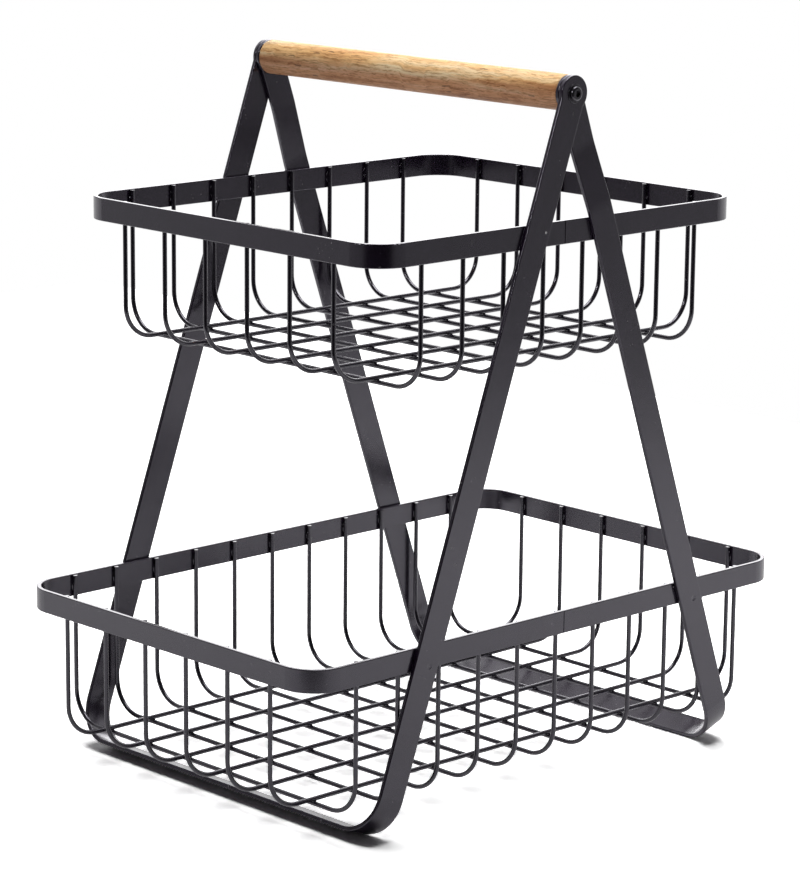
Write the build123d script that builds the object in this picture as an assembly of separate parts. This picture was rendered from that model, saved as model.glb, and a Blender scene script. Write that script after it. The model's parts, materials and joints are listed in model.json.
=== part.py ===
from build123d import *
from math import atan2, cos, degrees, sin, tan
import os

# Two-tier wire basket, in millimetres
# +X runs along the long sides of the baskets, +Y along the handle from front to rear, +Z up
# The origin is on the floor, under the middle of the handle

# Stance
handle_height = 454.5
foot_spread = 161.0

# Leg strip
strip_width = 20.0
strip_thickness = 3.0
strip_edge_radius = 0.7
leg_bend_radius = 27.0
leg_eye_radius = 11.5
joggle_above_rim = 6.0
joggle_below_crossing = 8.0
joggle_radius = 80.0

# Spot weld mark on each leg, near the lower edge of the lower rim
weld_mark_diameter = 4.4
weld_mark_depth = 0.3
weld_mark_height = 2.5
weld_mark_offset = 2.5

# Rims
rim_depth = 285.0
rim_height = 15.0
rim_thickness = 3.0
rim_corner_radius = 24.0
rim_edge_radius = 0.6
lower_rim_length = 432.0
lower_rim_top = 121.0
upper_rim_length = 330.0
upper_rim_below_handle = 79.5

# Open butt joint of each band, in the outer face of its front side
seam_width = 0.7
seam_depth = 0.5
lower_seam_place = 3.0
upper_seam_place = -3.0

# Wires
wire_diameter = 3.0
wire_bend_radius = 22.0
wire_end_drop = 0.5
lower_basket_drop = 100.6
lower_cross_margin = 41.0
lower_cross_count = 11
upper_basket_drop = 93.8
upper_cross_margin = 41.45
upper_cross_count = 8
long_margin = 42.5
long_count = 6

# Handle
dowel_diameter = 23.0
dowel_edge_radius = 1.2

# Handle screws, washers and threaded inserts
screw_diameter = 6.0
screw_length = 20.0
screw_head_diameter = 9.5
screw_head_height = 2.2
screw_head_round = 1.6
socket_width = 4.0
socket_sides = 6
socket_depth = 1.6
washer_diameter = 12.2
washer_thickness = 0.5
washer_edge_radius = 0.2
insert_diameter = 9.0
insert_length = 16.0
insert_hole_spare = 2.5

# Clearances
weld_gap = 0.05
thread_clearance = 0.05
hole_clearance = 0.25

# How far a cutting shape runs past the face that it opens
cut_overrun = 1.0

# Places that follow from the sizes
lean = atan2(foot_spread, handle_height)
upper_rim_top = handle_height - upper_rim_below_handle
leg_face = rim_depth / 2
outer_leg_line = leg_face + strip_thickness / 2
inner_eye_line = leg_face - strip_thickness / 2
dowel_end = leg_face - strip_thickness
wire_radius = wire_diameter / 2
wire_inset = rim_thickness + weld_gap + wire_radius
FRONT = -1
REAR = 1
LEFT = -1
RIGHT = 1


def leg_reach():
    """Distance down the lean from the handle axis to the strip's middle in the floor bar."""
    corner_width = strip_width / 2 - strip_edge_radius
    corner_height = handle_height - corner_width * sin(lean) - strip_edge_radius
    return corner_height / cos(lean) + strip_edge_radius - strip_thickness / 2


def leg_side_points(is_joggled):
    """One leg's centre line from its eye down to the floor bar, as (outward, down) pairs."""
    bottom = (outer_leg_line, leg_reach())
    if not is_joggled:
        return [(outer_leg_line, 0), bottom]
    crossing = strip_width / 2 / tan(lean)
    joggle_end = crossing + joggle_below_crossing
    joggle_start = (upper_rim_below_handle - joggle_above_rim) / cos(lean)
    return [
        (inner_eye_line, 0),
        (inner_eye_line, joggle_end),
        (outer_leg_line, joggle_start),
        bottom,
    ]


def leg_eye(end, eye_line):
    """Rounded disc at the top of a leg, centred on the handle axis."""
    disc = Cylinder(leg_eye_radius, strip_thickness)
    disc = fillet(disc.edges().filter_by(GeomType.CIRCLE), strip_edge_radius)
    return Pos(0, end * eye_line, handle_height) * Rot(X=90) * disc


def weld_mark(side, end):
    """Ball that presses a shallow round mark into the outer face of a leg."""
    height = lower_rim_top - rim_height + weld_mark_height
    middle = side * (handle_height - height) * tan(lean) + weld_mark_offset
    ball_radius = ((weld_mark_diameter / 2) ** 2 + weld_mark_depth**2) / (2 * weld_mark_depth)
    ball_middle = leg_face + strip_thickness - weld_mark_depth + ball_radius
    return Pos(middle, end * ball_middle, height) * Sphere(ball_radius)


def leg_frame(side, is_joggled):
    """U-bent strip: two legs that lean towards the handle, and the floor bar between them."""
    across = Vector(cos(lean), 0, side * sin(lean))
    plane = Plane(origin=(0, 0, handle_height), x_dir=(0, 1, 0), z_dir=across)
    side_points = leg_side_points(is_joggled)
    front = [plane.from_local_coords((-out, -down)) for out, down in side_points]
    rear = [plane.from_local_coords((out, -down)) for out, down in reversed(side_points)]
    bend = leg_bend_radius - strip_thickness / 2
    joggles = [joggle_radius] * (len(side_points) - 2)
    path = FilletPolyline(front + rear, radius=joggles + [bend, bend] + joggles)
    section_plane = Plane(origin=path @ 0, x_dir=across, z_dir=path % 0)
    section = section_plane * RectangleRounded(strip_width, strip_thickness, strip_edge_radius)
    frame = sweep(section, path=path)
    eye_line = side_points[0][0]
    for end in (FRONT, REAR):
        frame += leg_eye(end, eye_line)
        hole = Cylinder(screw_diameter / 2 + hole_clearance, strip_thickness + cut_overrun)
        frame -= Pos(0, end * eye_line, handle_height) * Rot(X=90) * hole
        frame -= weld_mark(side, end)
    return frame


def rim(length, top, seam_place):
    """Flat band bent to a rounded rectangle, standing on edge, with a groove where its ends meet."""
    outline = RectangleRounded(length, rim_depth, rim_corner_radius)
    inner_corner = rim_corner_radius - rim_thickness
    inside = RectangleRounded(length - 2 * rim_thickness, rim_depth - 2 * rim_thickness, inner_corner)
    band = extrude(outline - inside, rim_height)
    level_edges = band.edges().filter_by(lambda edge: abs((edge @ 0).Z - (edge @ 1).Z) < rim_height / 2)
    band = fillet(level_edges, rim_edge_radius)
    groove = Box(seam_width, 2 * seam_depth, rim_height + 2 * cut_overrun)
    band -= Pos(seam_place, FRONT * rim_depth / 2, rim_height / 2) * groove
    return Pos(0, 0, top - rim_height) * band


def bent_wire(half_span, top, bottom):
    """Round wire bent to a U in the YZ plane: up one wall, across the floor, up the other."""
    points = [(0, -half_span, top), (0, -half_span, bottom), (0, half_span, bottom), (0, half_span, top)]
    path = FilletPolyline(points, radius=wire_bend_radius)
    section = Plane(origin=path @ 0, z_dir=path % 0) * Circle(wire_radius)
    return sweep(section, path=path)


def row_places(count, reach):
    """Places of equally spaced wires, from -reach to reach."""
    return [(2 * index / (count - 1) - 1) * reach for index in range(count)]


def basket_wires(tier, length, top, drop, cross_count, cross_margin):
    """All wires of one basket by name: cross wires below, long wires lying on them.

    The margins run from the outside of the rim to the middle of the outermost wire.
    """
    wires = {}
    wire_top = top - wire_end_drop
    cross_level = top - drop
    long_level = cross_level + wire_diameter + weld_gap
    cross_wire = bent_wire(rim_depth / 2 - wire_inset, wire_top, cross_level)
    long_wire = Rot(Z=-90) * bent_wire(length / 2 - wire_inset, wire_top, long_level)
    digits = len(str(cross_count))
    for number, place in enumerate(row_places(cross_count, length / 2 - cross_margin), start=1):
        wires[f"{tier}_cross_wire_{number:0{digits}d}"] = Pos(place, 0, 0) * cross_wire
    for number, place in enumerate(row_places(long_count, rim_depth / 2 - long_margin), start=1):
        wires[f"{tier}_long_wire_{number}"] = Pos(0, place, 0) * long_wire
    return wires


def at_handle_end(end, distance, piece):
    """Turn a piece whose +Z points out of the handle, and set it at a distance along the axis."""
    return Pos(0, end * distance, handle_height) * Rot(X=-90 * end) * piece


def handle_dowel():
    """Wooden rod with rounded ends and a blind hole in each for a threaded insert."""
    rod = Pos(0, 0, handle_height) * Rot(X=90) * Cylinder(dowel_diameter / 2, 2 * dowel_end)
    rod = fillet(rod.edges().filter_by(GeomType.CIRCLE), dowel_edge_radius)
    hole_depth = insert_length + insert_hole_spare
    for end in (FRONT, REAR):
        hole = Cylinder(insert_diameter / 2 + thread_clearance, 2 * hole_depth)
        rod -= at_handle_end(end, dowel_end, hole)
    return rod


def threaded_insert():
    """Sleeve with its mouth at z = 0, reaching down into the dowel."""
    below = (Align.CENTER, Align.CENTER, Align.MAX)
    body = Cylinder(insert_diameter / 2, insert_length, align=below)
    bore = Cylinder(screw_diameter / 2 + thread_clearance, 2 * (insert_length + cut_overrun))
    return body - bore


def washer():
    """Thin ring standing on z = 0."""
    above = (Align.CENTER, Align.CENTER, Align.MIN)
    disc = Cylinder(washer_diameter / 2, washer_thickness, align=above)
    disc = fillet(disc.edges().sort_by(Axis.Z)[-1], washer_edge_radius)
    return disc - Cylinder(screw_diameter / 2 + hole_clearance, 2 * (washer_thickness + cut_overrun))


def handle_screw():
    """Button-head screw with the underside of its head at z = 0 and its shank below."""
    above = (Align.CENTER, Align.CENTER, Align.MIN)
    below = (Align.CENTER, Align.CENTER, Align.MAX)
    head = Cylinder(screw_head_diameter / 2, screw_head_height, align=above)
    head = fillet(head.edges().sort_by(Axis.Z)[-1], screw_head_round)
    hexagon = RegularPolygon(socket_width / 2, socket_sides, major_radius=False)
    socket = extrude(hexagon, socket_depth + cut_overrun)
    head -= Pos(0, 0, screw_head_height - socket_depth) * socket
    return head + Cylinder(screw_diameter / 2, screw_length, align=below)


def handle_fittings():
    """Screws, washers and inserts at both ends of the handle, by name."""
    outer_face = leg_face + strip_thickness
    fittings = {}
    for name, end in (("front", FRONT), ("rear", REAR)):
        head_seat = outer_face + washer_thickness
        fittings[f"{name}_threaded_insert"] = at_handle_end(end, dowel_end, threaded_insert())
        fittings[f"{name}_washer"] = at_handle_end(end, outer_face, washer())
        fittings[f"{name}_handle_screw"] = at_handle_end(end, head_seat, handle_screw())
    return fittings


def all_pieces():
    """Every piece of the basket, by name."""
    pieces = {
        "outer_leg_frame": leg_frame(LEFT, False),
        "inner_leg_frame": leg_frame(RIGHT, True),
        "lower_rim": rim(lower_rim_length, lower_rim_top, lower_seam_place),
        "upper_rim": rim(upper_rim_length, upper_rim_top, upper_seam_place),
        "handle_dowel": handle_dowel(),
    }
    pieces |= handle_fittings()
    pieces |= basket_wires(
        "lower",
        lower_rim_length,
        lower_rim_top,
        lower_basket_drop,
        lower_cross_count,
        lower_cross_margin,
    )
    pieces |= basket_wires(
        "upper",
        upper_rim_length,
        upper_rim_top,
        upper_basket_drop,
        upper_cross_count,
        upper_cross_margin,
    )
    return pieces


def main():
    os.makedirs("parts", exist_ok=True)
    for name, piece in all_pieces().items():
        export_step(piece, f"parts/{name}.step")
    print("lean of the legs in degrees:", round(degrees(lean), 2))


main()
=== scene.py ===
import json
import random
from math import cos, pi, radians, sin

import bmesh
import bpy
from mathutils import Matrix, Vector


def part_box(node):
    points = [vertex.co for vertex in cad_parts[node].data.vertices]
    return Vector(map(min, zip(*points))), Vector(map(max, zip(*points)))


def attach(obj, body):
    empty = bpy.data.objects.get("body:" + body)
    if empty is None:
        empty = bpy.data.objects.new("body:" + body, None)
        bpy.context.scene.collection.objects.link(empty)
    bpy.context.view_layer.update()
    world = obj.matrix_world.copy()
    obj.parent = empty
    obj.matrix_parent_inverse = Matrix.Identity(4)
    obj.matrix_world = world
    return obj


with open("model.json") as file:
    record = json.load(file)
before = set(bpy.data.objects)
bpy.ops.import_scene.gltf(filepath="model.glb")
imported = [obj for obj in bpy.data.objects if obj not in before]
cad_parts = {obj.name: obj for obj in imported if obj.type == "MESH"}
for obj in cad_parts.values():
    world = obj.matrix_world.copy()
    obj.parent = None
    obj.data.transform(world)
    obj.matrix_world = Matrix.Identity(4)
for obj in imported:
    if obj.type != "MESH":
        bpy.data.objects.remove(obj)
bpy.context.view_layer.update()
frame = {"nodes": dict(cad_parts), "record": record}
nodes = frame["nodes"]
scene = bpy.context.scene
SEED = 7
draw = random.Random(SEED)
scene.view_settings.view_transform = "Standard"

# Lengths are in metres, apart from those in tables that say mm
MM = 0.001

WHITE = (1, 1, 1)
MIDDLE_OF_NOISE = 0.5

# Camera, as it stood for the photograph
CAMERA_PLACE = Vector((-1.51336, -1.57936, 0.69016))
CAMERA_TURN = radians(43.616)
CAMERA_DOWN = radians(12.468)
CAMERA_ROLL = radians(0.533)
CAMERA_FAR = 50
PHOTO_HEIGHT_PX = 891
PHOTO_FOCUS_PX = 3357.55
SENSOR = 36.0

# Black coating: refractive index, shine, tint of the shine, and how far its roughness varies
COAT_IOR = 1.55
COAT_SHINE = 0.86
COAT_TINT = (0.92, 0.885, 1.0, 1)
COAT_ROUGHNESS_RANGE = 0.08

# Noises of the coating: scale, detail and roughness
COAT_CLOUD = (38, 5, 0.6)
COAT_DULLNESS = (90, 4, 0.6)
COAT_PEEL = (700, 3, 0.55)
COAT_SWELL = (60, 3, 0.5)

# Where in its cloud noise the coating is darkest and lightest, and the depths of its relief
COAT_DARKEST_AT = 0.3
COAT_LIGHTEST_AT = 0.72
COAT_PEEL_DEPTH = 0.0001
COAT_SWELL_DEPTH = 0.0004

# Black coating: darkest colour, lightest colour, roughness and strength of the orange peel
STEEL_COAT = ((0.008, 0.004, 0.011), (0.014, 0.008, 0.019), 0.22, 0.10)
WIRE_COAT = ((0.004, 0.003, 0.006), (0.008, 0.005, 0.011), 0.20, 0.04)
FASTENER_COAT = ((0.004, 0.003, 0.005), (0.007, 0.006, 0.008), 0.24, 0.04)

# Pale specks strewn over the coating: one in each cell where a noise is over the chosen value
SPECK_CELLS = 260
SPECK_PATCHES = (61, 2, 0.5)
SPECK_CHOICE = 0.60
SPECK_SIZE_SHARE = 0.13
SPECK_COLOUR = (0.22, 0.21, 0.22)
SPECK_STRENGTH = 0.6

# Light marks on the steel: place in mm, stretch along each axis, radius in mm, strength, shade
MARK_CORE_SHARE = 0.6
STEEL_MARKS = (
    ((-23.4, -145.5, 369.7), (1, 1, 1), 1.0, 1.0, 0.85),
    ((-102.0, -145.5, 180.8), (0.5, 1, 1), 1.4, 0.5, 0.06),
    ((-99.2, -145.5, 169.5), (0.6, 1, 1), 1.2, 0.5, 0.06),
    ((-1.2, -145.5, 442.0), (1, 1, 0.3), 0.6, 0.6, 0.20),
    ((19.5, -145.5, 403.7), (1, 1, 1), 0.9, 0.6, 0.15),
    ((-42.4, -145.5, 343.2), (1, 1, 1), 0.8, 0.5, 0.12),
    ((-85.5, -142.5, 369.6), (0.7, 1, 0.4), 0.9, 0.4, 0.08),
    ((-165.0, 62.6, 364.7), (1, 1, 1), 0.7, 0.5, 0.12),
)

# Handle, from the frame
HANDLE_LOW, HANDLE_HIGH = (Vector(corner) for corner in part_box("handle_dowel"))
HANDLE_AXIS = (HANDLE_LOW.z + HANDLE_HIGH.z) / 2
HANDLE_RADIUS = (HANDLE_HIGH.z - HANDLE_LOW.z) / 2

# Colours of the wood: three for its upper half, paler as painted light from above, three for its
# lower half, browner as painted shade, and the flecks
WOOD_PALE = (0.90, 0.74, 0.49)
WOOD_GOLD = (0.84, 0.54, 0.25)
WOOD_STREAK = (0.66, 0.34, 0.12)
WOOD_TAN = (0.86, 0.53, 0.34)
WOOD_BROWN = (0.74, 0.38, 0.20)
WOOD_DARK = (0.46, 0.19, 0.08)
WOOD_FLECK = (0.10, 0.04, 0.018)

# Noises of the wood: scale, detail and roughness
SLOW_BEND = (1.0, 2, 0.5)
QUICK_BEND = (6.0, 3, 0.5)
BROAD_GRAIN = (190, 4, 0.55)
FINE_GRAIN = (1100, 4, 0.6)
RIPPLE_GRAIN = (760, 4, 0.68)

# How far the grain sways sideways along the handle, and how far each kind of grain is drawn out
BENDS_PER_METRE = 26.0
SLOW_SWAY = 0.006
QUICK_SWAY = 0.0022
STREAK_SHARE = 0.05
RIPPLE_SHARE = 0.12
PORE_SHARE = 0.17

# Where the upper and lower half's three colours lie in the broad grain
UPPER_STOPS = (0.28, 0.48, 0.72)
LOWER_STOPS = (0.28, 0.50, 0.74)

# Where the painted shade of the lower half gives way to the painted light of the upper half, in
# radii over the axis
PAINTED_LIGHT_BLEND_LOW = -0.15
PAINTED_LIGHT_BLEND_HIGH = 0.60
PAINTED_LIGHT_BLEND_WANDER = 1.3

# Fine dark lines and wavy darker lines of the wood: colour, strength, and where in their noise
LINE_COLOUR = (0.62, 0.52, 0.42)
LINE_STRENGTH = 0.85
LINE_DARKEST_AT = 0.32
LINE_GONE_AT = 0.50
WAVE_COLOUR = (0.52, 0.36, 0.24)
WAVE_STRENGTH = 0.8
WAVE_DARKEST_AT = 0.36
WAVE_GONE_AT = 0.50

# Pores of the wood: cells that hold one pore each, and how large and how rare a pore is
PORE_CELLS = 420
PORE_SIZE_SHARE = 0.26
PORE_CHOICE = 0.93
PORE_STRENGTH = 0.62

# Surface of the wood: shine, roughness, and strength and depth of its relief
WOOD_SHINE = 0.25
WOOD_SMOOTHEST = 0.42
WOOD_ROUGHNESS_RANGE = 0.2
WOOD_LINE_RELIEF = (0.3, 0.0002)
WOOD_RIPPLE_RELIEF = (0.25, 0.0003)

# Larger flecks of the wood: place in mm, half length in mm, half width in mm
# The grain's usual sway is taken off again, so that each fleck stays near its place
USUAL_SWAY = (0.003, 0, 0.003)
FLECK_STRENGTH = 0.8
FLECK_CORE_SHARE = 0.5
WOOD_FLECKS = (
    ((-10.3, 106.0, 459.4), 9.0, 0.55),
    ((-9.7, 29.6, 448.3), 2.2, 0.6),
    ((-7.8, 26.7, 446.1), 1.8, 0.5),
    ((-10.5, -12.9, 449.7), 2.6, 0.5),
    ((-8.3, -22.9, 446.5), 1.6, 0.5),
    ((-10.5, -80.7, 449.9), 3.0, 0.45),
    ((-9.8, -107.5, 448.4), 1.8, 0.45),
)

# Brass of the inserts: its cloud noise, its colours and its roughness
BRASS_CLOUD = (400, 3, 0.5)
BRASS_DARK = (0.55, 0.37, 0.12)
BRASS_LIGHT = (0.72, 0.52, 0.2)
BRASS_DARKEST_AT = 0.3
BRASS_LIGHTEST_AT = 0.7
BRASS_SMOOTHEST = 0.25
BRASS_ROUGHNESS_RANGE = 0.15

# Wires and bands that the weld metal joins, and how far it stays under a rim's top and off a bend
WIRE = 0.003
RIM_THICKNESS = 0.003
RIM_WELD_DROP = 0.0078
BEND_REACH = 0.02

# Half sizes of the weld lumps along x, y and z: where wires cross, and where one meets a rim's
# front or rear side
SPOT_REACH = (0.0015, 0.0015, 0.0009)
SEAT_REACH = (0.0019, 0.0008, 0.0042)

# Fineness of a weld lump, and its unevenness: number of waves over it, their pitch, their height
LUMP_SUBDIVISIONS = 2
LUMP_WAVES = 4
LUMP_WAVE_PITCH = 3.2
LUMP_WAVE_SHARE = 0.05

# White sheet that the object stands on: corners on the floor, albedo, and gain to the camera
SHEET = ((-0.85, 0.0), (-0.10, -0.78), (0.30, -1.1), (1.0, -1.1), (1.0, 1.6), (-0.85, 1.6))
SHEET_ALBEDO = 0.9
FLOOR_GAIN = 2.0

# Glow of the far floor, with the distances from the origin where it starts and where it is full
FLOOR_GLOW = 0.3
GLOW_START = 0.3
GLOW_FULL = 0.8

# Brightness of the room as the object sees it, and the share of it that lights matt surfaces
FRONT_WAY = (-0.69, -0.724, 0)
ROOM_SIDE = 0.08
ROOM_FLOOR = 0.32
ROOM_FRONT = 0.02
ROOM_FILL = 0.3

# Where the room changes: by height of the ray, and by how far it points to the front
HORIZON_LOW = -0.08
HORIZON_HIGH = 0.03
FRONT_START = 0.60
FRONT_FULL = 0.86
BEHIND_START = 0.0
BEHIND_FULL = -0.44

# Lamps: place, point aimed at, size, power in watts, spread in degrees
LAMP_TARGET = (0, 0, 0.2)
HANDLE_TARGET = (0, -0.08, HANDLE_AXIS + 0.04)
LAMPS = {
    "overhead": ((0.32, 0.1, 1.85), LAMP_TARGET, 1.2, 35, 180),
    "behind": ((2.4, 2.55, 1.0), LAMP_TARGET, 2.2, 38, 180),
    "handle": ((-1.6, -0.3, 1.35), HANDLE_TARGET, 0.4, 0.21, 20),
}


def make_camera():
    """Sets the camera at the photograph's viewpoint."""
    ahead = Vector((
        sin(CAMERA_TURN) * cos(CAMERA_DOWN),
        cos(CAMERA_TURN) * cos(CAMERA_DOWN),
        -sin(CAMERA_DOWN),
    ))
    level_right = Vector((cos(CAMERA_TURN), -sin(CAMERA_TURN), 0))
    level_up = level_right.cross(ahead)
    right = level_right * cos(CAMERA_ROLL) + level_up * sin(CAMERA_ROLL)
    up = level_up * cos(CAMERA_ROLL) - level_right * sin(CAMERA_ROLL)
    data = bpy.data.cameras.new("camera")
    data.sensor_width = SENSOR
    data.lens = PHOTO_FOCUS_PX * SENSOR / PHOTO_HEIGHT_PX
    data.clip_end = CAMERA_FAR
    camera = bpy.data.objects.new("camera", data)
    camera.matrix_world = Matrix.Translation(CAMERA_PLACE) @ Matrix((
        (right.x, up.x, -ahead.x, 0),
        (right.y, up.y, -ahead.y, 0),
        (right.z, up.z, -ahead.z, 0),
        (0, 0, 0, 1),
    ))
    scene.collection.objects.link(camera)
    scene.camera = camera


class Nodes:
    """Short forms for building a node tree."""

    def __init__(self, tree):
        self.tree = tree

    def add(self, kind, inputs=None, **settings):
        """Adds a node; its inputs are values or sockets, by name or number."""
        node = self.tree.nodes.new(kind)
        for name, value in settings.items():
            setattr(node, name, value)
        for name, value in (inputs or {}).items():
            self.put(node.inputs[name], value)
        return node

    def put(self, socket, value):
        """Links a socket to an input, or sets the input to a value."""
        if isinstance(value, bpy.types.NodeSocket):
            self.tree.links.new(value, socket)
        else:
            socket.default_value = value

    def math(self, operation, *values):
        """One sum or comparison of numbers."""
        node = self.add("ShaderNodeMath", operation=operation)
        for socket, value in zip(node.inputs, values):
            self.put(socket, value)
        return node.outputs[0]

    def vector(self, operation, *values):
        """One sum of vectors, returned as the node, because a length is its Value output."""
        inputs = dict(enumerate(values))
        return self.add("ShaderNodeVectorMath", inputs, operation=operation)

    def length(self, place):
        """Length of a vector."""
        return self.vector("LENGTH", place).outputs["Value"]

    def stretched(self, place, scale):
        """Coordinates scaled along each axis."""
        return self.add("ShaderNodeMapping", {"Vector": place, "Scale": scale}).outputs["Vector"]

    def noise(self, place, scale, detail, rough):
        """Smooth noise from 0 to 1."""
        node = self.add("ShaderNodeTexNoise", {
            "Vector": place,
            "Scale": scale,
            "Detail": detail,
            "Roughness": rough,
        })
        return node.outputs["Fac"]

    def cells(self, place, scale):
        """Outputs of a pattern of round cells: distance from the cell's middle, and its colour."""
        return self.add("ShaderNodeTexVoronoi", {"Vector": place, "Scale": scale}).outputs

    def ramp(self, factor, *stops):
        """Colour by factor, from pairs of place and colour."""
        node = self.add("ShaderNodeValToRGB", {"Fac": factor})
        while len(node.color_ramp.elements) < len(stops):
            node.color_ramp.elements.new(0.5)
        for element, (position, colour) in zip(node.color_ramp.elements, stops):
            element.position = position
            element.color = (*colour, 1)
        return node.outputs["Color"]

    def rise(self, value, low, high, result=(0, 1), kind="SMOOTHSTEP"):
        """Takes a value between two limits to a value between two results."""
        node = self.add("ShaderNodeMapRange", {
            "Value": value,
            "From Min": low,
            "From Max": high,
            "To Min": result[0],
            "To Max": result[1],
        }, interpolation_type=kind)
        return node.outputs["Result"]

    def mix(self, factor, first, second, blend="MIX"):
        """Blends two colours."""
        node = self.add("ShaderNodeMix", data_type="RGBA", blend_type=blend)
        self.put(node.inputs[0], factor)
        self.put(node.inputs[6], (*first, 1) if isinstance(first, tuple) else first)
        self.put(node.inputs[7], (*second, 1) if isinstance(second, tuple) else second)
        return node.outputs[2]

    def bump(self, height, strength, distance, normal=None):
        """Normal of a surface with small relief."""
        node = self.add("ShaderNodeBump", {
            "Height": height,
            "Strength": strength,
            "Distance": distance,
        })
        if normal is not None:
            self.put(node.inputs["Normal"], normal)
        return node.outputs["Normal"]

    def blob(self, place, spot, stretch, radius, core_share, strength):
        """Soft-edged spot, full inside the core, at a place in mm and stretched along each axis."""
        moved = self.vector("SUBTRACT", place, [MM * value for value in spot]).outputs[0]
        scaled = self.vector("MULTIPLY", moved, stretch).outputs[0]
        return self.rise(self.length(scaled), radius, radius * core_share, (0, strength), "LINEAR")

    def switch(self, factor, first, second):
        """Mixes two shaders."""
        node = self.add("ShaderNodeMixShader", {"Fac": factor})
        self.put(node.inputs[1], first)
        self.put(node.inputs[2], second)
        return node.outputs[0]


def new_material(name):
    """An empty material with a principled shader, the helper for its tree, and its coordinates."""
    material = bpy.data.materials.new(name)
    material.use_nodes = True
    tree = material.node_tree
    tree.nodes.clear()
    kit = Nodes(tree)
    output = kit.add("ShaderNodeOutputMaterial")
    shader = kit.add("ShaderNodeBsdfPrincipled")
    tree.links.new(shader.outputs[0], output.inputs["Surface"])
    place = kit.add("ShaderNodeTexCoord").outputs["Object"]
    return material, kit, shader, place


def coated_metal(name, coat, marks=()):
    """Baked black coating: slightly mottled, with a fine orange peel and a few light marks."""
    dark, light, roughness, peel = coat
    material, kit, shader, place = new_material(name)
    cloud = kit.noise(place, *COAT_CLOUD)
    colour = kit.ramp(cloud, (COAT_DARKEST_AT, dark), (COAT_LIGHTEST_AT, light))

    grains = kit.cells(place, SPECK_CELLS)["Distance"]
    small = kit.math("LESS_THAN", grains, SPECK_SIZE_SHARE)
    chosen = kit.math("GREATER_THAN", kit.noise(place, *SPECK_PATCHES), SPECK_CHOICE)
    speck = kit.math("MULTIPLY", small, chosen)
    colour = kit.mix(kit.math("MULTIPLY", speck, SPECK_STRENGTH), colour, SPECK_COLOUR)
    for spot, stretch, radius, strength, shade in marks:
        mark = kit.blob(place, spot, stretch, radius * MM, MARK_CORE_SHARE, strength)
        colour = kit.mix(mark, colour, (shade, shade, shade))
    kit.put(shader.inputs["Base Color"], colour)

    dull = kit.math("MULTIPLY", kit.noise(place, *COAT_DULLNESS), COAT_ROUGHNESS_RANGE)
    smoothest = roughness - COAT_ROUGHNESS_RANGE / 2
    kit.put(shader.inputs["Roughness"], kit.math("ADD", smoothest, dull))
    shader.inputs["IOR"].default_value = COAT_IOR
    shader.inputs["Specular IOR Level"].default_value = COAT_SHINE
    shader.inputs["Specular Tint"].default_value = COAT_TINT
    fine = kit.bump(kit.noise(place, *COAT_PEEL), peel, COAT_PEEL_DEPTH)
    swell = kit.noise(place, *COAT_SWELL)
    kit.put(shader.inputs["Normal"], kit.bump(swell, peel, COAT_SWELL_DEPTH, fine))
    return material


def swayed_grain(kit, place):
    """Coordinates that wander sideways along the handle, so that the grain isn't ruler-straight."""
    y = kit.add("ShaderNodeSeparateXYZ", {"Vector": place}).outputs["Y"]
    along = kit.math("MULTIPLY", y, BENDS_PER_METRE)
    line = kit.add("ShaderNodeCombineXYZ", {"Y": along}).outputs[0]
    slow = kit.math("MULTIPLY", kit.noise(line, *SLOW_BEND), SLOW_SWAY)
    quick = kit.math("MULTIPLY", kit.noise(line, *QUICK_BEND), QUICK_SWAY)
    sway = kit.math("ADD", slow, quick)
    shift = kit.add("ShaderNodeCombineXYZ", {"X": sway, "Z": sway}).outputs[0]
    return kit.vector("ADD", place, shift).outputs[0]


def wood_ground_painted_light(kit, place, broad):
    """Colour under the grain lines: paler and golden above as painted light, browner below as
    painted shade, with an uneven border.
    """
    # The upper colours are the wood under painted light from above; the lower colours are the wood
    # in painted shade
    upper = kit.ramp(broad, *zip(UPPER_STOPS, (WOOD_STREAK, WOOD_GOLD, WOOD_PALE)))
    lower = kit.ramp(broad, *zip(LOWER_STOPS, (WOOD_DARK, WOOD_BROWN, WOOD_TAN)))
    z = kit.add("ShaderNodeSeparateXYZ", {"Vector": place}).outputs["Z"]
    height = kit.math("DIVIDE", kit.math("SUBTRACT", z, HANDLE_AXIS), HANDLE_RADIUS)
    uneven = kit.math("SUBTRACT", broad, MIDDLE_OF_NOISE)
    wander = kit.math("MULTIPLY", uneven, PAINTED_LIGHT_BLEND_WANDER)
    above = kit.rise(kit.math("ADD", height, wander), PAINTED_LIGHT_BLEND_LOW, PAINTED_LIGHT_BLEND_HIGH)
    return kit.mix(above, lower, upper)


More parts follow.
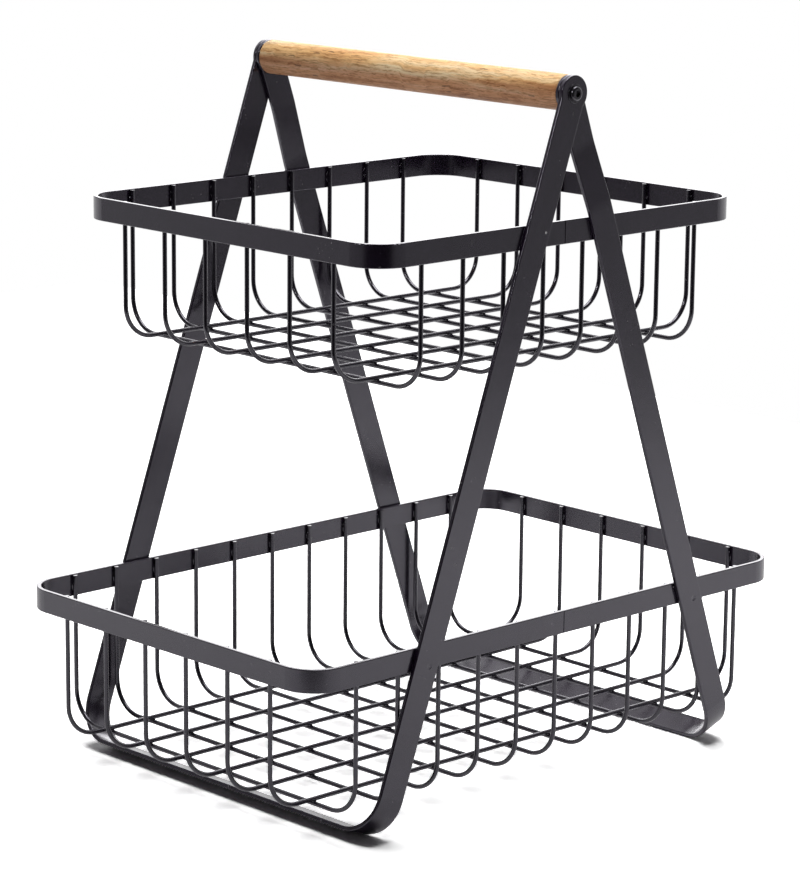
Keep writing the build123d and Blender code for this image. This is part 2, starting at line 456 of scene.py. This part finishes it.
def handle_wood():
    """Pale hardwood with fine wavy grain and dark flecks; its top is painted golden as painted light
    and its underside browner as painted shade.
    """
    material, kit, shader, place = new_material("handle_wood")
    swayed = swayed_grain(kit, place)
    streaky = kit.stretched(swayed, (1, STREAK_SHARE, 1))
    wavy = kit.stretched(swayed, (1, RIPPLE_SHARE, 1))
    broad = kit.noise(streaky, *BROAD_GRAIN)
    fine = kit.noise(streaky, *FINE_GRAIN)
    ripple = kit.noise(wavy, *RIPPLE_GRAIN)

    colour = wood_ground_painted_light(kit, place, broad)
    lines = kit.ramp(fine, (LINE_DARKEST_AT, LINE_COLOUR), (LINE_GONE_AT, WHITE))
    colour = kit.mix(LINE_STRENGTH, colour, lines, "MULTIPLY")
    waves = kit.ramp(ripple, (WAVE_DARKEST_AT, WAVE_COLOUR), (WAVE_GONE_AT, WHITE))
    colour = kit.mix(WAVE_STRENGTH, colour, waves, "MULTIPLY")

    cells = kit.stretched(swayed, (1, PORE_SHARE, 1))
    pores = kit.cells(cells, PORE_CELLS)
    picked = kit.add("ShaderNodeSeparateColor", {"Color": pores["Color"]}).outputs["Red"]
    small = kit.math("LESS_THAN", pores["Distance"], PORE_SIZE_SHARE)
    pore = kit.math("MULTIPLY", small, kit.math("GREATER_THAN", picked, PORE_CHOICE))
    colour = kit.mix(kit.math("MULTIPLY", pore, PORE_STRENGTH), colour, WOOD_FLECK)
    settled = kit.vector("SUBTRACT", swayed, USUAL_SWAY).outputs[0]
    for spot, long, wide in WOOD_FLECKS:
        stretch = (1 / wide, 1 / long, 1 / wide)
        fleck = kit.blob(settled, spot, stretch, MM, FLECK_CORE_SHARE, FLECK_STRENGTH)
        colour = kit.mix(fleck, colour, WOOD_FLECK)
    kit.put(shader.inputs["Base Color"], colour)

    dull = kit.math("MULTIPLY", fine, WOOD_ROUGHNESS_RANGE)
    kit.put(shader.inputs["Roughness"], kit.math("ADD", WOOD_SMOOTHEST, dull))
    shader.inputs["Specular IOR Level"].default_value = WOOD_SHINE
    relief = kit.bump(fine, *WOOD_LINE_RELIEF)
    kit.put(shader.inputs["Normal"], kit.bump(ripple, *WOOD_RIPPLE_RELIEF, relief))
    return material


def brass():
    """Turned brass of the threaded inserts."""
    material, kit, shader, place = new_material("insert_brass")
    cloud = kit.noise(place, *BRASS_CLOUD)
    colour = kit.ramp(cloud, (BRASS_DARKEST_AT, BRASS_DARK), (BRASS_LIGHTEST_AT, BRASS_LIGHT))
    kit.put(shader.inputs["Base Color"], colour)
    dull = kit.math("MULTIPLY", cloud, BRASS_ROUGHNESS_RANGE)
    kit.put(shader.inputs["Roughness"], kit.math("ADD", BRASS_SMOOTHEST, dull))
    shader.inputs["Metallic"].default_value = 1
    return material


def paint(node, material):
    """Gives a CAD node its material."""
    data = nodes[node].data
    data.materials.clear()
    data.materials.append(material)


def dress_nodes():
    """Puts a material on every CAD node, and returns the materials by slot."""
    by_slot = {
        "coated_steel": coated_metal("coated_steel", STEEL_COAT, STEEL_MARKS),
        "coated_wire": coated_metal("coated_wire", WIRE_COAT),
        "black_fastener": coated_metal("black_fastener", FASTENER_COAT),
        "handle_wood": handle_wood(),
        "insert_brass": brass(),
    }
    for part in frame["record"]["subparts"]:
        paint(part["node"], by_slot[part["material_slot"]])
    return by_slot


def add_lump(mesh, place, reach, turn=None):
    """Adds an uneven rounded lump of weld metal to a mesh: its middle, and half sizes, in metres."""
    made = bmesh.ops.create_icosphere(mesh, subdivisions=LUMP_SUBDIVISIONS, radius=1)["verts"]
    twist = Matrix.Rotation(draw.uniform(0, 2 * pi), 3, draw.choice("XYZ"))
    waves = []
    for _ in range(LUMP_WAVES):
        axis = Vector([draw.gauss(0, 1) for _ in range(3)]).normalized()
        waves.append((axis, draw.uniform(0, 2 * pi)))
    for vertex in made:
        way = twist @ vertex.co
        swell = sum(sin(LUMP_WAVE_PITCH * way.dot(axis) + start) for axis, start in waves)
        uneven = way * (1 + LUMP_WAVE_SHARE * swell)
        shaped = Vector([part * half for part, half in zip(uneven, reach)])
        vertex.co = Vector(place) + (turn @ shaped if turn else shaped)


def add_piece(name, mesh, material):
    """Turns a finished bmesh into a smooth object that rides with the basket."""
    data = bpy.data.meshes.new(name)
    mesh.to_mesh(data)
    mesh.free()
    for face in data.polygons:
        face.use_smooth = True
    data.materials.append(material)
    piece = bpy.data.objects.new(name, data)
    scene.collection.objects.link(piece)
    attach(piece, "root")


def node_box(node):
    """Low and high corner of a CAD node."""
    low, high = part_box(node)
    return Vector(low), Vector(high)


def weld_wires(tier, material):
    """Spot-weld metal of one basket: where wires cross, and where they meet the rim."""
    names = [part["node"] for part in frame["record"]["subparts"]]
    crossing = [node_box(name) for name in names if name.startswith(tier + "_cross_wire")]
    running = [node_box(name) for name in names if name.startswith(tier + "_long_wire")]
    rim_high = node_box(tier + "_rim")[1]
    inner_x = rim_high.x - RIM_THICKNESS
    inner_y = rim_high.y - RIM_THICKNESS
    weld_level = rim_high.z - RIM_WELD_DROP
    quarter_turn = Matrix.Rotation(pi / 2, 3, "Z")
    spots = bmesh.new()
    seats = bmesh.new()
    for low, high in crossing:
        x = (low.x + high.x) / 2
        for other_low, other_high in running:
            y = (other_low.y + other_high.y) / 2
            contact = (low.z + WIRE + other_low.z) / 2
            if abs(y) < high.y - BEND_REACH and abs(x) < other_high.x - BEND_REACH:
                add_lump(spots, (x, y, contact), SPOT_REACH)
        for side in (-1, 1):
            add_lump(seats, (x, side * inner_y, weld_level), SEAT_REACH)
    for low, high in running:
        y = (low.y + high.y) / 2
        for side in (-1, 1):
            add_lump(seats, (side * inner_x, y, weld_level), SEAT_REACH, quarter_turn)
    add_piece(tier + "_wire_welds", spots, material)
    add_piece(tier + "_rim_welds", seats, material)


def white_paper(kit):
    """Shader of the sheet as it lights the object."""
    colour = (SHEET_ALBEDO, SHEET_ALBEDO, SHEET_ALBEDO, 1)
    return kit.add("ShaderNodeBsdfDiffuse", {"Color": colour}).outputs[0]


def seen_paper(kit, straight):
    """Shader of the sheet as it is seen: brighter to the camera, with a glow far away."""
    place = kit.add("ShaderNodeTexCoord").outputs["Object"]
    far = kit.rise(kit.length(place), GLOW_START, GLOW_FULL)
    glow = kit.add("ShaderNodeEmission", {
        "Color": (*WHITE, 1),
        "Strength": kit.math("MULTIPLY", far, FLOOR_GLOW),
    })
    gain = kit.math("ADD", 1, kit.math("MULTIPLY", straight, FLOOR_GAIN - 1))
    grey = {"Red": gain, "Green": gain, "Blue": gain}
    colour = kit.add("ShaderNodeCombineColor", grey).outputs[0]
    bright = kit.add("ShaderNodeBsdfDiffuse", {"Color": colour})
    both = kit.add("ShaderNodeAddShader", {0: bright.outputs[0], 1: glow.outputs[0]})
    return both.outputs[0]


def make_floor():
    """White sheet on the floor. The camera sees it as white, with the object's shadow kept."""
    mesh = bpy.data.meshes.new("floor")
    mesh.from_pydata([(x, y, 0) for x, y in SHEET], [], [tuple(range(len(SHEET)))])
    floor = bpy.data.objects.new("floor", mesh)
    scene.collection.objects.link(floor)
    material = bpy.data.materials.new("floor_white")
    material.use_nodes = True
    material.node_tree.nodes.clear()
    kit = Nodes(material.node_tree)
    output = kit.add("ShaderNodeOutputMaterial")
    path = kit.add("ShaderNodeLightPath").outputs
    straight = kit.math("MAXIMUM", path["Is Camera Ray"], path["Is Transmission Ray"])
    seen = kit.math("MAXIMUM", straight, path["Is Glossy Ray"])
    surface = kit.switch(seen, white_paper(kit), seen_paper(kit, straight))
    kit.put(output.inputs["Surface"], surface)
    mesh.materials.append(material)


def make_world():
    """White to the camera. The object sees a white wall behind it and a dim room in front."""
    world = bpy.data.worlds.new("studio")
    scene.world = world
    world.use_nodes = True
    world.node_tree.nodes.clear()
    kit = Nodes(world.node_tree)
    output = kit.add("ShaderNodeOutputWorld")
    ray = kit.add("ShaderNodeTexCoord").outputs["Generated"]
    front = kit.vector("DOT_PRODUCT", ray, FRONT_WAY).outputs["Value"]
    height = kit.add("ShaderNodeSeparateXYZ", {"Vector": ray}).outputs["Z"]
    side = kit.rise(height, HORIZON_LOW, HORIZON_HIGH, (ROOM_FLOOR, ROOM_SIDE))
    ahead = kit.rise(front, FRONT_START, FRONT_FULL, (side, ROOM_FRONT))

    path = kit.add("ShaderNodeLightPath").outputs
    dimmed = kit.math("MULTIPLY", path["Is Diffuse Ray"], 1 - ROOM_FILL)
    dim = kit.math("SUBTRACT", 1, dimmed)
    room = kit.add("ShaderNodeBackground", {"Color": ahead, "Strength": dim})
    white = kit.add("ShaderNodeBackground", {"Color": (*WHITE, 1), "Strength": 1.0})
    behind = kit.rise(front, BEHIND_START, BEHIND_FULL)
    straight = kit.math("MAXIMUM", path["Is Camera Ray"], path["Is Transmission Ray"])
    wall = kit.math("MULTIPLY", behind, path["Is Glossy Ray"])
    seen = kit.math("MAXIMUM", straight, wall)
    surface = kit.switch(seen, room.outputs[0], white.outputs[0])
    kit.put(output.inputs["Surface"], surface)


def area_light(name, place, target, size, power, spread):
    """Soft square lamp aimed at a point; its light fans out over the spread, in degrees."""
    data = bpy.data.lights.new(name, "AREA")
    data.shape = "SQUARE"
    data.size = size
    data.energy = power
    data.spread = radians(spread)
    lamp = bpy.data.objects.new(name, data)
    lamp.location = place
    lamp.rotation_euler = (Vector(target) - Vector(place)).to_track_quat("-Z", "Y").to_euler()
    scene.collection.objects.link(lamp)


def light_scene():
    """Soft studio light: wide lamps overhead and low behind, and a gridded one on the handle."""
    for name, settings in LAMPS.items():
        area_light(name, *settings)


make_camera()
materials = dress_nodes()
for basket in ("lower", "upper"):
    weld_wires(basket, materials["coated_wire"])
make_floor()
make_world()
light_scene()
